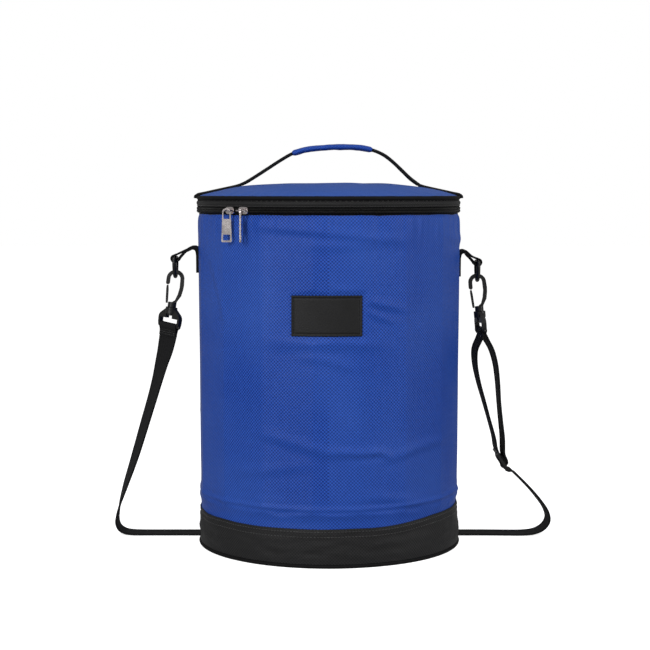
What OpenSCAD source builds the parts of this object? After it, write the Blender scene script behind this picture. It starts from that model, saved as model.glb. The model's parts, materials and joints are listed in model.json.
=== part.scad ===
// Round insulated cooler bag: padded cylinder, zipped lid, carry handle, clip-on shoulder strap.
// Origin: centre of the underside. +Z up, front is -Y, +X is the right side seen from the front.

/* [Bag body] */
// Outside radius of the fabric wall
body_r = 137; // [135:1:138]
// Height of the seam between the wall and the zip
wall_top = 353; // [351:1:354]
// Thickness of the wall fabric
fabric_t = 1; // [0.6:0.1:1]
// Thickness of the foam in the wall
foam_t = 5.9; // [4:0.1:6]
// Thickness of the liner film
liner_t = 0.8; // [0.4:0.1:0.8]

/* [Base] */
// Height of the reinforced band round the base
band_top = 40; // [30:1:60]
// Cord radius of the piping round the underside
base_pipe_r = 2; // [1.5:0.1:2]
// Thickness of the stiffening board
board_t = 2.5; // [1.5:0.1:3]
// Thickness of the foam over the board
floor_foam_t = 8; // [4:0.5:10]
// Width of the groove that the strap presses into the underside
groove_w = 28; // [26:1:34]

/* [Lid and zip] */
// Height of the gap between the two rows of the zip
zip_z = 356.6; // [356:0.1:357]
// Radial depth of a zip coil
coil_depth = 2.4; // [1.6:0.1:2.4]
// Height of a zip coil
coil_h = 2.2; // [1.8:0.1:2.2]
// Half angle of the back stretch that has no zip, where the lid hinges
hinge_half_angle = 18; // [14:1:22]
// Rise of the lid's dome above its rim seam
dome_rise = 13.4; // [8:0.1:15]
// Cord radius of the piping round the lid
lid_pipe_r = 2.2; // [1.6:0.1:2.2]

/* [Zip sliders] */
// Angle of the left slider from the front, clockwise from above is negative
slider_left_angle = -44.5; // [-60:0.5:-42]
// Angle of the right slider from the front
slider_right_angle = -37; // [-39:0.5:0]
// Length of a slider along the zip
slider_l = 12; // [10:0.5:12]
// Height of a slider across the zip
slider_h = 7; // [7:0.5:8]
// Length of a puller
puller_l = 34; // [28:1:34]
// Width of a puller
puller_w = 10.5; // [9:0.5:11.5]
// Thickness of a puller
puller_t = 1.6; // [1.2:0.1:1.6]

/* [Carry handle] */
// Width of the handle webbing
handle_w = 25; // [20:1:30]
// Thickness of the handle webbing
handle_t = 2; // [1.4:0.1:2]
// Thickness of the grip sleeve
sleeve_t = 5.4; // [4:0.2:6]

/* [Front patch] */
// Width of the patch along the curved wall
patch_w = 71; // [50:1:90]
// Height of the patch
patch_h = 41; // [30:1:60]
// Height of the patch's centre
patch_z = 253; // [200:1:280]
// Sideways offset of the patch's centre
patch_x = -2; // [-5:1:5]

/* [Side tabs and rings] */
// Distance of the left ring's bar from the bag's axis
ring_left_x = 163.5; // [160:0.5:166]
// Distance of the right ring's bar from the bag's axis
ring_right_x = 159; // [157:0.5:166]
// Height of the left ring's bar
ring_left_z = 304.5; // [300:0.5:308]
// Height of the right ring's bar
ring_right_z = 300.5; // [298:0.5:308]
// Radius of a ring's round section
ring_rod = 2; // [1.6:0.1:2]
// Radius of a ring's round end, to the middle of the rod
ring_bend = 15; // [14.8:0.1:16]

/* [Snap hooks] */
// Outward lean of the left hook as it hangs
hook_left_lean = 8; // [0:1:12]
// Outward lean of the right hook as it hangs
hook_right_lean = -5; // [-12:1:0]
// Turn of the left clip base on its swivel
base_left_turn = -40; // [-80:5:80]
// Turn of the right clip base on its swivel
base_right_turn = -80; // [-80:5:80]
// Radius of the hook's bend, to the middle of its section
hook_bend = 7.4; // [7:0.1:8]
// Radius of the swivel pin
pin_r = 2.4; // [2:0.1:2.4]
// Radial gap between the swivel pin and its collar
pin_gap = 0.06; // [0.03:0.01:0.1]

/* [Shoulder strap] */
// Width of the strap webbing
strap_w = 25; // [20:1:25]
// Thickness of the strap webbing
strap_t = 1.6; // [1.2:0.1:1.6]

/* [Hidden] */
$fn = 96;
blue = "#24449B";
black = "#262626";
nickel = "#C9C2C0";
silver_film = "#C8CCD0";
foam_white = "#F2F2EE";

foam_out = body_r - fabric_t - 0.1;
foam_in = foam_out - foam_t;
liner_in = foam_in - 0.05 - liner_t;
foam_top = wall_top - 3;
panel_t = 3.2;
board_z = panel_t + 0.05;
floor_foam_z = board_z + board_t + 0.05;
floor_film_z = floor_foam_z + floor_foam_t + 0.05;
base_r = body_r - 1.6;
groove_y = 30;
groove_depth = 2;

coil_in = body_r + 0.4;
coil_out = coil_in + coil_depth;
coil_gap = 1.4;
lower_coil_z = zip_z - coil_gap / 2 - coil_h;
upper_coil_z = zip_z + coil_gap / 2;
tape_in = body_r - 0.7;
tape_out = body_r + 0.3;
track_angle = 360 - 2 * hinge_half_angle;
gusset_z = upper_coil_z + coil_h + 0.3;
gusset_h = 6.5;
gusset_out = body_r + 2.4;
lid_pipe_z = 369;
lid_pipe_centre = body_r + 1;
dome_edge_z = 370;
dome_r = body_r - 1.4;
lid_foam_z = zip_z + 4.6;
lid_foam_r = body_r - 4;

slider_face = coil_out + 0.4;
slider_plate = 1.6;
slider_back = tape_in - 2.4;
slider_post = 0.8;
bail_r = 146;
bail_rod = 0.7;

hook_drop = ring_bend + 4.5 + hook_bend - 5;
hook_rod = 2;

// Routes: each row is the place of the middle of the webbing, then the way its width points.
// The left strap hangs from its clip, curls onto the floor and runs under the bag.
route_left = [
    [-172.3, 0, 219.8, 0.77, -0.64, 0],
    [-175, 0, 207, 0.7, -0.7, 0],
    [-179, 1, 193, 0.6, -0.8, 0],
    [-184, 2, 174, 0.5, -0.87, 0],
    [-190, 3, 153, 0.45, -0.9, 0],
    [-198, 5, 127, 0.42, -0.91, 0],
    [-207, 8, 98, 0.38, -0.93, 0],
    [-214, 11, 77, 0.32, -0.95, 0],
    [-221, 14, 57, 0.24, -0.97, 0],
    [-227, 18, 39, 0.12, -0.99, 0],
    [-230.5, 22, 25, 0.04, -1, 0],
    [-231.5, 25, 15, 0, -1, 0],
    [-229, 27, 7.5, 0, -1, 0],
    [-223, 28.5, 3, 0, -1, 0],
    [-213, 29.5, 1.2, 0, -1, 0],
    [-195, 30, 0.85, 0, -1, 0],
    [-170, 30, 0.85, 0, -1, 0],
    [-140, 30, 0.85, 0, -1, 0],
    [-90, 30, 0.85, 0, -1, 0],
    [-45, 30, 0.85, 0, -1, 0],
    [-0.2, 30, 0.85, 0, -1, 0]
];
// The right strap comes out from under the bag, curls up and climbs to the adjuster.
route_right = [
    [0.2, 30, 0.85, 0, -1, 0],
    [45, 30, 0.85, 0, -1, 0],
    [90, 30, 0.85, 0, -1, 0],
    [140, 30, 0.85, 0, -1, 0],
    [170, 30, 0.85, 0, -1, 0],
    [195, 29, 0.85, 0, -1, 0],
    [212, 28, 1.2, 0, -1, 0],
    [225, 26.5, 3, 0.03, -1, 0],
    [234, 25, 7.5, 0.05, -1, 0],
    [239, 23.5, 14, 0.06, -1, 0],
    [240, 22, 21, 0.08, -1, 0],
    [237, 20, 30, 0.1, -1, 0],
    [231, 18, 39, 0.1, -1, 0],
    [223, 16, 49, 0.1, -1, 0],
    [213, 13, 60, 0.1, -1, 0],
    [203, 10.5, 70, 0.1, -1, 0],
    [197.5, 9.5, 75, 0.1, -1, 0]
];
// Two strands climb from the adjuster to the right clip: the running one, then the one that returns.
route_running = [
    [188.5, 8, 101, 0.07, -1, 0],
    [188, 7, 112, 0.07, -1, 0],
    [185.5, 5.5, 133, 0.05, -1, 0],
    [183.5, 4, 152, 0.04, -1, 0],
    [182, 3, 171, 0.06, -1, 0],
    [179.5, 2, 190, 0.09, -1, 0],
    [175, 1, 206, 0.13, -0.99, 0],
    [169.5, 0, 217.5, 0.17, -0.98, 0]
];
route_return = [
    [180.5, 8, 101, 0.05, -1, 0],
    [178.5, 7, 112, 0.04, -1, 0],
    [172.5, 5.5, 133, 0.03, -1, 0],
    [167, 4, 152, 0.05, -1, 0],
    [161.5, 3, 171, 0.07, -1, 0],
    [157.5, 2, 190, 0.1, -0.99, 0],
    [157, 1, 206, 0.14, -0.99, 0],
    [160.5, 0, 217.5, 0.17, -0.98, 0]
];
// The carry handle: two ends that lie on the lid, and the arch that stands up between them.
route_handle_left = [
    [-137, 0, 372.6, 0, 1, 0],
    [-131, 0, 375, 0, 1, 0],
    [-122, 0, 376.8, 0, 1, 0],
    [-110, 0, 379, 0, 1, 0],
    [-99, 0, 381.4, 0, 1, 0],
    [-93.4, 0, 382.6, 0, 1, 0]
];
route_handle_right = [
    [137, 0, 372.6, 0, -1, 0],
    [131, 0, 375, 0, -1, 0],
    [122, 0, 376.8, 0, -1, 0],
    [110, 0, 379, 0, -1, 0],
    [101, 0, 381, 0, -1, 0],
    [96.4, 0, 382.2, 0, -1, 0]
];
route_handle = [
    [-93, 0, 382.8, 0, 1, 0],
    [-88, 0, 385, 0, 1, 0],
    [-78, 0, 391, 0, 1, 0],
    [-64, 0, 400, 0, 1, 0],
    [-50, 0, 409, 0, 1, 0],
    [-38, 0, 415.6, 0, 1, 0],
    [-24, 0, 419.6, 0, 1, 0],
    [-5, 0, 421.8, 0, 1, 0],
    [15, 0, 422.4, 0, 1, 0],
    [32, 0, 421.8, 0, 1, 0],
    [46, 0, 419.4, 0, 1, 0],
    [58, 0, 414.4, 0, 1, 0],
    [68, 0, 407, 0, 1, 0],
    [78, 0, 397.6, 0, 1, 0],
    [87, 0, 389, 0, 1, 0],
    [96, 0, 382.4, 0, 1, 0]
];
sleeve_first = 5;
sleeve_last = 10;
route_sleeve = [for (i = [sleeve_first:sleeve_last]) route_handle[i]];

// Height of the lid's outside at a radius
function dome_z(r) = dome_edge_z + dome_rise * (1 - pow(r / body_r, 3.5));

function unit(v) = v / norm(v);
function place(route, i) = [route[i][0], route[i][1], route[i][2]];
function along(route, i) =
    unit(place(route, min(i + 1, len(route) - 1)) - place(route, max(i - 1, 0)));
function across(route, i) =
    let (t = along(route, i), w = [route[i][3], route[i][4], route[i][5]])
    unit(w - (w * t) * t);
function flat_section(w, t) = [
    [w, t / 3], [w - t, t], [t - w, t], [-w, t / 3],
    [-w, -t / 3], [t - w, -t], [w - t, -t], [w, -t / 3]
];

// Flat webbing swept along a route
module ribbon(route, width, thick) {
    section = flat_section(width / 2, thick / 2);
    n = len(section);
    last = len(route) - 1;
    points = [
        for (i = [0:last])
            let (p = place(route, i), w = across(route, i), up = cross(along(route, i), w))
            for (s = section) p + s[0] * w + s[1] * up
    ];
    sides = [
        for (i = [0:last - 1]) for (k = [0:n - 1])
            let (a = i * n + k, b = i * n + (k + 1) % n)
            each [[a, b, b + n], [a, b + n, a + n]]
    ];
    first_end = [for (k = [n - 1:-1:0]) k];
    last_end = [for (k = [0:n - 1]) last * n + k];
    polyhedron(points = points, faces = concat([first_end], sides, [last_end]), convexity = 6);
}

// Straight-sided ring about the bag's axis
module tube(r_in, r_out, z, h) {
    translate([0, 0, z])
        difference() {
            cylinder(r = r_out, h = h);
            translate([0, 0, -1])
                cylinder(r = r_in, h = h + 2);
        }
}

// Ring that follows the zip and stops short of the hinge at the back
module track(r_in, r_out, z, h) {
    rotate([0, 0, 90 + hinge_half_angle])
        rotate_extrude(angle = track_angle)
            translate([r_in, z])
                square([r_out - r_in, h]);
}

// Puts a piece that is drawn at the front onto another angle of the bag
module at_angle(a) {
    rotate([0, 0, a])
        children();
}

module strap_groove() {
    translate([-160, groove_y - groove_w / 2, -1])
        cube([320, groove_w, groove_depth + 1]);
}

// ---- Body ----
module outer_panel() {
    flare = 1.5;
    color(blue)
        rotate_extrude()
            polygon([
                [body_r - fabric_t, band_top - 8], [body_r, band_top - 8],
                [body_r, wall_top - 15], [body_r + flare, wall_top - 3.5],
                [body_r + flare, wall_top], [body_r + flare - fabric_t, wall_top],
                [body_r + flare - fabric_t, wall_top - 3.5], [body_r - fabric_t, wall_top - 15]
            ]);
}

module wall_foam() {
    color(foam_white)
        tube(foam_in, foam_out, floor_foam_z, foam_top - floor_foam_z);
}

module liner_wall() {
    color(silver_film)
        tube(liner_in, foam_in - 0.05, floor_film_z + liner_t, foam_top - floor_film_z - liner_t);
}

module rim_binding() {
    leg = 14;
    color(black) {
        tube(liner_in - 0.85, liner_in - 0.05, foam_top - leg, leg);
        tube(liner_in - 0.85, foam_out - 0.1, foam_top + 0.05, liner_t);
    }
}

module bottom_panel() {
    color(black)
        difference() {
            cylinder(r = base_r, h = panel_t);
            strap_groove();
        }
}

module base_board() {
    color("gray")
        translate([0, 0, board_z])
            cylinder(r = base_r, h = board_t);
}

module base_foam() {
    color(foam_white)
        translate([0, 0, floor_foam_z])
            cylinder(r = foam_in - 0.1, h = floor_foam_t);
}

module liner_floor() {
    color(silver_film)
        translate([0, 0, floor_film_z])
            cylinder(r = foam_in - 0.1, h = liner_t);
}

module base_band() {
    low = base_pipe_r * 2 + 0.1;
    color(black)
        rotate_extrude()
            polygon([
                [body_r + 0.05, low], [body_r + 1.6, low], [body_r + 1.9, low + 8],
                [body_r + 1.3, band_top - 8], [body_r + 1.1, band_top], [body_r + 0.05, band_top]
            ]);
}

module base_piping() {
    color(black)
        difference() {
            rotate_extrude()
                translate([base_r + 0.05 + base_pipe_r, base_pipe_r])
                    circle(r = base_pipe_r);
            strap_groove();
        }
}

module front_patch() {
    span = patch_w / body_r * 180 / PI;
    edge = 3;
    edge_angle = edge / body_r * 180 / PI;
    thick = 1.5;
    color(black)
        at_angle(patch_x / body_r * 180 / PI - 90 - span / 2)
            difference() {
                rotate_extrude(angle = span)
                    translate([body_r + 0.05, patch_z - patch_h / 2])
                        square([thick, patch_h]);
                rotate([0, 0, edge_angle])
                    rotate_extrude(angle = span - 2 * edge_angle)
                        translate([body_r + thick - 0.4, patch_z - patch_h / 2 + edge])
                            square([1, patch_h - 2 * edge]);
            }
}

// ---- Zip ----
module lower_zip_tape() {
    color(black)
        track(tape_in, tape_out, foam_top + 0.95, zip_z - 0.8 - foam_top - 0.95);
}

module lower_zip_coil() {
    color(black)
        track(coil_in, coil_out, lower_coil_z, coil_h);
}

module upper_zip_tape() {
    color(black)
        track(tape_in, tape_out, zip_z + 0.9, 8);
}

module upper_zip_coil() {
    color(black)
        track(coil_in, coil_out, upper_coil_z, coil_h);
}

module zip_end_stops() {
    stop_angle = 1.2;
    color(nickel)
        for (a = [90 + hinge_half_angle - stop_angle - 0.1, 90 - hinge_half_angle + 0.1])
            rotate([0, 0, a])
                rotate_extrude(angle = stop_angle)
                    translate([coil_in, lower_coil_z])
                        square([coil_depth, coil_h]);
}

module back_hinge_panel() {
    low = wall_top - 4;
    high = gusset_z + gusset_h;
    color(black)
        rotate([0, 0, 90 - hinge_half_angle + 0.2])
            rotate_extrude(angle = 2 * hinge_half_angle - 0.4)
                translate([body_r + 2.85, low])
                    square([0.9, high - low]);
}

// ---- Lid ----
module lid_panel() {
    steps = 12;
    skin = 0.9;
    radii = [for (i = [0:steps]) dome_r * sqrt(i / steps)];
    color(blue)
        rotate_extrude()
            polygon(concat(
                [for (r = radii) [r, dome_z(r)]],
                [for (i = [steps:-1:0]) [radii[i], dome_z(radii[i]) - skin]]
            ));
}

module lid_foam() {
    steps = 10;
    radii = [for (i = [0:steps]) lid_foam_r * sqrt(i / steps)];
    color(foam_white)
        rotate_extrude()
            polygon(concat(
                [[0, lid_foam_z], [lid_foam_r, lid_foam_z]],
                [for (i = [steps:-1:0]) [radii[i], dome_z(radii[i]) - 1]]
            ));
}

module lid_liner() {
    color(silver_film)
        translate([0, 0, lid_foam_z - 0.05 - liner_t])
            cylinder(r = lid_foam_r, h = liner_t);
}

module lid_binding() {
    color(black)
        tube(lid_foam_r + 0.1, tape_in - 0.1, lid_foam_z, 3.4);
}

module lid_gusset() {
    color(black)
        tube(coil_in, gusset_out, gusset_z, gusset_h);
}

module lid_piping() {
    color(black)
        rotate_extrude()
            translate([lid_pipe_centre, lid_pipe_z])
                circle(r = lid_pipe_r);
}

// ---- Carry handle ----
module handle_ends() {
    color(black) {
        ribbon(route_handle_left, handle_w, handle_t);
        ribbon(route_handle_right, handle_w, handle_t);
    }
}

module handle_webbing() {
    color(black)
        ribbon(route_handle, handle_w, handle_t);
}

module handle_sleeve() {
    color(blue)
        ribbon(route_sleeve, handle_w + 3, sleeve_t);
}

// ---- Zip sliders and pullers ----
module slider() {
    bail_len = 10;
    bail_rise = bail_r - slider_face - slider_plate;
    color(nickel) {
        translate([0, -slider_face, zip_z])
            rotate([90, 0, 0])
                linear_extrude(slider_plate)
                    soft_rectangle(slider_l, slider_h, slider_h / 2 - 0.6);
        translate([-slider_l / 2, -slider_back - slider_plate, zip_z - slider_h / 2])
            cube([slider_l, slider_plate, slider_h]);
        translate([-2, -slider_face - 0.1, zip_z - slider_post / 2])
            cube([4, slider_face - slider_back - slider_plate + 0.2, slider_post]);
        translate([-bail_len / 2, -bail_r, zip_z])
            rotate([0, 90, 0])
                cylinder(r = bail_rod, h = bail_len);
        for (x = [-bail_len / 2, bail_len / 2]) {
            translate([x, -slider_face - slider_plate + 0.1, zip_z])
                rotate([90, 0, 0])
                    cylinder(r = bail_rod, h = bail_rise + 0.1);
            translate([x, -bail_r, zip_z])
                sphere(r = bail_rod);
        }
    }
}

// Flat pull tab with a rounded top, hanging from the bail; turn is about its own length
module puller(turn) {
    head = 4.2;
    top = 2.3;
    wall = 1.2;
    low = top - puller_l;
    centre = top - head;
    half = puller_w / 2;
    color(nickel)
        translate([0, -bail_r, zip_z])
            rotate([0, 0, turn])
                translate([0, puller_t / 2, 0])
                    rotate([90, 0, 0])
                        linear_extrude(puller_t)
                            difference() {
                                union() {
                                    translate([0, centre])
                                        circle(r = head);
                                    polygon([
                                        [0.05 - head, centre + 0.5], [head - 0.05, centre + 0.5],
                                        [half, low + 1], [half - 1, low], [1 - half, low], [-half, low + 1]
                                    ]);
                                }
                                translate([0, centre])
                                    circle(r = head - wall);
                                translate([wall - head, -8.4])
                                    square([2 * (head - wall), centre + 8.4]);
                                translate([wall - half + 0.5, low + 1.8])
                                    square([2 * (half - wall) - 1, 5.8]);
                            }
}
module slider_left() {
    at_angle(slider_left_angle)
        slider();
}

module slider_right() {
    at_angle(slider_right_angle)
        slider();
}

module puller_left() {
    at_angle(slider_left_angle)
        puller(45);
}

module puller_right() {
    at_angle(slider_right_angle)
        puller(-53);
}

// ---- Side tabs, rings and snap hooks ----
// Webbing loop sewn to the wall; drawn with the ring's bar at the origin and the wall towards -X
module tab(reach) {
    hole = ring_rod + 0.6;
    ply = 1.5;
    arch = 12.4;
    color(black)
        translate([0, handle_w / 2, 0])
            rotate([90, 0, 0])
                linear_extrude(handle_w)
                    difference() {
                        union() {
                            circle(r = hole + ply);
                            polygon([
                                [-1.2, 3.7], [-reach + 4, arch], [-reach - 2, arch],
                                [-reach - 2, arch - 4], [-reach + 4, arch - 3.4], [-3.6, 1.4]
                            ]);
                            translate([-reach - 2, -15])
                                square([2 * ply + 2, arch + 13]);
                        }
                        circle(r = hole);
                        translate([-reach - 20, -30])
                            square([20, 60]);
                    }
}

module tab_left() {
    translate([-ring_left_x, 0, ring_left_z])
        rotate([0, 0, 180])
            tab(ring_left_x - body_r - 0.15);
}

module tab_right() {
    translate([ring_right_x, 0, ring_right_z])
        tab(ring_right_x - body_r - 0.15);
}

// D-shaped ring hanging from its straight bar, which lies along Y through the origin
module d_ring() {
    leg = 4.5;
    color(black) {
        translate([0, ring_bend, 0])
            rotate([90, 0, 0])
                cylinder(r = ring_rod, h = 2 * ring_bend);
        for (y = [-ring_bend, ring_bend]) {
            translate([0, y, 0])
                sphere(r = ring_rod);
            translate([0, y, -leg])
                cylinder(r = ring_rod, h = leg);
        }
        translate([0, 0, -leg])
            rotate([90, 0, -90])
                rotate([0, 0, 180])
                    rotate_extrude(angle = 180)
                        translate([ring_bend, 0])
                            circle(r = ring_rod);
    }
}

module ring_left() {
    translate([-ring_left_x, 0, ring_left_z])
        d_ring();
}

module ring_right() {
    translate([ring_right_x, 0, ring_right_z])
        d_ring();
}

// Puts a piece of a clip where it hangs: the origin is the middle of the hook's bend
module at_clip_left() {
    translate([-ring_left_x, 0, ring_left_z - hook_drop])
        rotate([0, hook_left_lean, 0])
            children();
}

module at_clip_right() {
    translate([ring_right_x, 0, ring_right_z - hook_drop])
        rotate([0, hook_right_lean, 0])
            children();
}

module hook() {
    boss_top = -25.5;
    boss_low = -30.7;
    thick = 4.4;
    inner = hook_bend - hook_rod;
    outer = hook_bend + hook_rod;
    color(black) {
        translate([0, thick / 2, 0])
            rotate([90, 0, 0])
                linear_extrude(thick) {
                    difference() {
                        circle(r = outer);
                        circle(r = inner);
                        translate([-outer - 1, -outer - 1])
                            square([2 * outer + 2, outer + 1]);
                    }
                    translate([-outer, -5])
                        square([2 * hook_rod, 5.1]);
                    translate([-hook_bend, -5])
                        circle(r = hook_rod);
                    polygon([
                        [inner, 0.1], [outer, 0.1], [outer + 0.5, -6], [outer + 0.2, -11],
                        [8.4, -18], [4.5, -25], [4.5, boss_top - 0.2], [0, boss_top - 0.2],
                        [0, -24.8], [2.4, -23], [4.6, -16.5], [5.8, -9]
                    ]);
                }
        translate([0, 0, boss_low])
            cylinder(r = 4.6, h = boss_top - boss_low);
        translate([0, 0, -38.2])
            cylinder(r = pin_r, h = 8);
        translate([0, 0, -39.8])
            cylinder(r = 3.5, h = 1.8);
    }
}

// Springy tongue that closes the hook; its root is beside the boss
module gate() {
    color(black)
        translate([0, 2.2, 0])
            rotate([90, 0, 0])
                linear_extrude(4.4)
                    polygon([
                        [-5.1, -26.8], [-6.9, -26.8], [-7.3, -24], [-8.3, -12], [-8.3, -8],
                        [-6.7, -7.6], [-5.9, -12], [-5, -24]
                    ]);
}

module clip_base() {
    collar_low = -37.5;
    bar_z = -51;
    color(black) {
        difference() {
            union() {
                translate([0, 0, collar_low])
                    cylinder(r = 6.3, h = 6.5);
                translate([0, 2.5, 0])
                    rotate([90, 0, 0])
                        linear_extrude(5)
                            polygon([
                                [-6, -32.5], [6, -32.5], [13.6, -38.2], [15.2, -40.5],
                                [15.6, -43], [15.4, -48], [14.6, bar_z], [-14.6, bar_z],
                                [-15.4, -48], [-15.6, -43], [-15.2, -40.5], [-13.6, -38.2]
                            ]);
            }
            translate([-12.8, -5, bar_z - 3])
                cube([25.6, 10, 11.2]);
            translate([-4.4, -5, bar_z + 7])
                cube([8.8, 10, -bar_z - 7 + collar_low]);
            translate([0, 0, -45])
                cylinder(r = pin_r + pin_gap, h = 20);
        }
        translate([-14.4, 0, bar_z])
            rotate([0, 90, 0])
                cylinder(r = 2, h = 28.8);
        for (x = [-14.4, 14.4])
            translate([x, 0, bar_z])
                sphere(r = 2);
    }
}

// Webbing folded round the clip's bar and sewn to itself
module strap_end(length) {
    bar_z = -51;
    ply = strap_t;
    color(black)
        difference() {
            union() {
                translate([-strap_w / 2 + 0.3, 0, bar_z])
                    rotate([0, 90, 0])
                        cylinder(r = 2.05 + ply, h = strap_w - 0.6);
                translate([-strap_w / 2 + 0.3, -ply, bar_z - length])
                    cube([strap_w - 0.6, 2 * ply, length]);
            }
            translate([-strap_w / 2 - 1, 0, bar_z])
                rotate([0, 90, 0])
                    cylinder(r = 2.05, h = strap_w + 2);
        }
}

module hook_left() {
    at_clip_left()
        hook();
}

module hook_right() {
    at_clip_right()
        hook();
}

module gate_left() {
    at_clip_left()
        gate();
}

module gate_right() {
    at_clip_right()
        gate();
}

module clip_base_left() {
    at_clip_left()
        rotate([0, 0, base_left_turn])
            clip_base();
}

module clip_base_right() {
    at_clip_right()
        rotate([0, 0, base_right_turn])
            clip_base();
}

module strap_end_left() {
    at_clip_left()
        rotate([0, 0, base_left_turn])
            strap_end(11);
}

module strap_end_right() {
    at_clip_right()
        rotate([0, 0, base_right_turn])
            strap_end(7);
}

// ---- Shoulder strap ----
module strap_left() {
    color(black)
        ribbon(route_left, strap_w, strap_t);
}

module strap_right() {
    color(black)
        ribbon(route_right, strap_w, strap_t);
}

module strap_double() {
    color(black) {
        ribbon(route_running, strap_w, strap_t);
        ribbon(route_return, strap_w, strap_t);
    }
}

// Puts a piece where the adjuster hangs: its width along Y, its length down and outwards
module at_adjuster() {
    translate([187, 9, 86])
        rotate([0, -34, 0])
            rotate([90, 0, 0])
                children();
}

// Flat rectangle with round corners, cut from exact shapes
module soft_rectangle(w, h, r) {
    square([w - 2 * r, h], center = true);
    square([w, h - 2 * r], center = true);
    for (x = [-w / 2 + r, w / 2 - r])
        for (y = [-h / 2 + r, h / 2 - r])
            translate([x, y])
                circle(r = r);
}

module adjuster() {
    long = 24;
    wide = 32;
    thick = 3;
    slot = 5.4;
    color(black)
        at_adjuster()
            rotate([0, 90, 0])
                translate([0, 0, -thick / 2])
                    linear_extrude(thick)
                        difference() {
                            soft_rectangle(wide, long, 3);
                            for (y = [-5, 5])
                                translate([-13, y - slot / 2])
                                    square([26, slot]);
                        }
}

// End of the strap, folded round the adjuster's middle bar and sewn
module adjuster_wrap() {
    bar = 4.6;
    thick = 3;
    ply = strap_t;
    color(black)
        at_adjuster()
            rotate([0, 90, 0])
                difference() {
                    cube([strap_w - 0.5, bar + 2 * ply, thick + 2 * ply], center = true);
                    cube([strap_w + 2, bar + 0.1, thick + 0.1], center = true);
                }
}

outer_panel();
wall_foam();
liner_wall();
rim_binding();
bottom_panel();
base_board();
base_foam();
liner_floor();
base_band();
base_piping();
lower_zip_tape();
lower_zip_coil();
zip_end_stops();
back_hinge_panel();
front_patch();
tab_left();
tab_right();
strap_left();
strap_right();
strap_double();
lid_panel();
lid_foam();
lid_liner();
lid_binding();
lid_piping();
lid_gusset();
upper_zip_tape();
upper_zip_coil();
handle_ends();
handle_webbing();
handle_sleeve();
slider_left();
slider_right();
puller_left();
puller_right();
ring_left();
ring_right();
clip_base_left();
clip_base_right();
strap_end_left();
strap_end_right();
hook_left();
hook_right();
gate_left();
gate_right();
adjuster();
adjuster_wrap();
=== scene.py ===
import bpy
import json
import math
from mathutils import Matrix, Vector, noise


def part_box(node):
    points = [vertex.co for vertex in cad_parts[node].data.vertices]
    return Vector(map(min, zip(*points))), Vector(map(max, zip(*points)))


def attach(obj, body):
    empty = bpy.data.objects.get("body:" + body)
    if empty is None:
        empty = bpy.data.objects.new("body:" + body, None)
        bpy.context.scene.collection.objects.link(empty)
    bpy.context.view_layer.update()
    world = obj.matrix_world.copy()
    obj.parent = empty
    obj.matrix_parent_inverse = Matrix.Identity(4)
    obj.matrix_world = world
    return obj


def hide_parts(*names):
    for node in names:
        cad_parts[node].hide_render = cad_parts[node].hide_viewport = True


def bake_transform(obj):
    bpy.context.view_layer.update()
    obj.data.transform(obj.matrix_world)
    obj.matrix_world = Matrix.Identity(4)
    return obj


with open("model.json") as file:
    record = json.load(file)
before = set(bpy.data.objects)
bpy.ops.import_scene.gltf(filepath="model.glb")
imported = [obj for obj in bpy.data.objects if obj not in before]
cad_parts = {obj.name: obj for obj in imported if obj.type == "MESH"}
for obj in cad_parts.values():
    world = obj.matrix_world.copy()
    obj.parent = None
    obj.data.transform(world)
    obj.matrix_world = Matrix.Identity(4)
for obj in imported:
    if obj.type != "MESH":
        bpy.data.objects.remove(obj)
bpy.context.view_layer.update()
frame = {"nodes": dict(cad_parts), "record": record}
mm = 0.001
turn = 2 * math.pi


# Places read from the frame, in metres
wallLow, wallHigh = (Vector(corner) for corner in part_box("outer_panel"))
seamZ = wallHigh.z
zipZ = next(j["pos_m"][2] for j in frame["record"]["behaviour"]["joints"] if j["name"] == "slider_left_run")
zipEnd = math.radians(162)  # half of the zip's arc, measured from the front
bagRadius = 0.137  # the radius at which cloth is measured round the bag
strapY = 30 * mm  # where the shoulder strap passes under the bag


def polar(angle, radius, z):  # angle runs from the front towards the right side
    return Vector((math.sin(angle) * radius, -math.cos(angle) * radius, z))


def smooth(value, low, high):
    t = min(max((value - low) / (high - low), 0), 1)
    return t * t * (3 - 2 * t)


def roundNoise(angle, scale, height):
    # noise that closes on itself round the bag
    return noise.noise((math.sin(angle) * scale, math.cos(angle) * scale, height))


def angleGap(a, b):
    return (a - b + math.pi) % turn - math.pi


# Camera
cameraSettings = {"distance": 1.720, "height": 0.377, "sideways": -0.0037, "pitch": 4.79, "lens": 89.2}


def makeCamera(s):
    data = bpy.data.cameras.new("camera")
    data.lens = s["lens"]
    data.sensor_width = 36
    data.clip_end = 20
    camera = bpy.data.objects.new("camera", data)
    camera.location = (s["sideways"], -s["distance"], s["height"])
    camera.rotation_euler = (math.radians(90 - s["pitch"]), 0, 0)
    bpy.context.collection.objects.link(camera)
    bpy.context.scene.camera = camera


makeCamera(cameraSettings)
print("camera placed")


# Mesh helpers
def meshPiece(name, points, faces, uvs=None):
    mesh = bpy.data.meshes.new(name)
    mesh.from_pydata([tuple(p) for p in points], [], faces)
    if uvs:
        layer = mesh.uv_layers.new(name="metres")
        for loop, uv in zip(layer.data, [uv for face in uvs for uv in face]):
            loop.uv = uv
    mesh.polygons.foreach_set("use_smooth", [True] * len(mesh.polygons))
    mesh.update()
    piece = bpy.data.objects.new(name, mesh)
    bpy.context.collection.objects.link(piece)
    return piece


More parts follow.
